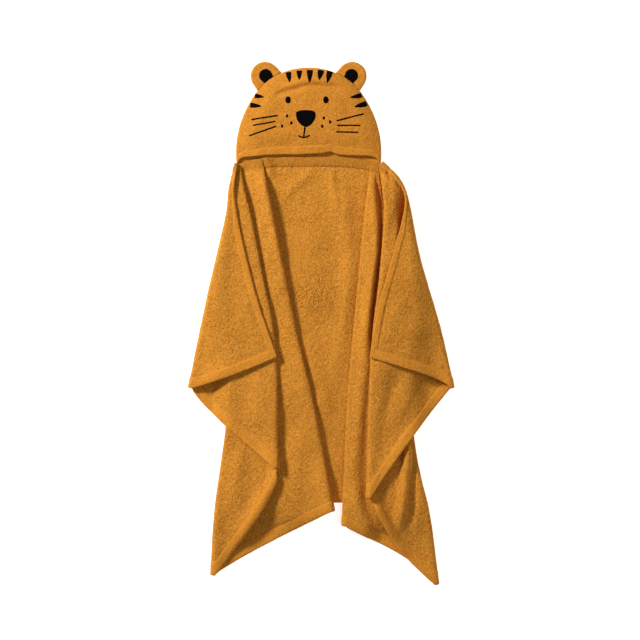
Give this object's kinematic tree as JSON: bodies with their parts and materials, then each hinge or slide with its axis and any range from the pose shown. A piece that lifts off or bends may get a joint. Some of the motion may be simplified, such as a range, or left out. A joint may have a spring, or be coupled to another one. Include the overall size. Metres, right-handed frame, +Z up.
{
  "type": "hooded baby bath cape",
  "caption": "Hooded terry bath cape laid flat, its sides folded forward in layers, with a round-eared hood embroidered with a plain tiger face.",
  "frame": {"origin": "middle of the underside's bounding rectangle, on the surface the cape lies on", "axes": "+Z up, away from the surface; +Y along the cape's length, towards the top of the hood; +X to the right, seen from above"},
  "size_m": [0.5418, 1.0596, 0.0387],
  "materials": {
    "body_terry": "ochre cotton terry with short loops, matt, smoother and lighter along its stitched hems",
    "hood_front_terry": "ochre cotton terry with short loops, matt",
    "hood_back_terry": "ochre cotton terry with short loops, matt",
    "ear_terry": "ochre cotton terry with short loops, matt",
    "black_thread": "black satin-stitch embroidery, slight sheen along the thread",
    "black_felt": "black short-napped cloth, matt"
  },
  "bodies": {
    "root": {"body_panel": "body_terry", "hood_front": "hood_front_terry", "hood_back": "hood_back_terry", "ear_left_front": "ear_terry", "ear_left_back": "ear_terry", "ear_right_front": "ear_terry", "ear_right_back": "ear_terry", "inner_ear_left": "black_felt", "inner_ear_right": "black_felt", "nose": "black_thread", "eye_left": "black_thread", "eye_right": "black_thread", "brow_stripe_1": "black_thread", "brow_stripe_2": "black_thread", "brow_stripe_3": "black_thread", "brow_stripe_4": "black_thread", "brow_stripe_5": "black_thread", "cheek_stripe_left_1": "black_thread", "cheek_stripe_left_2": "black_thread", "cheek_stripe_right_1": "black_thread", "cheek_stripe_right_2": "black_thread"}
  },
  "joints": []
}
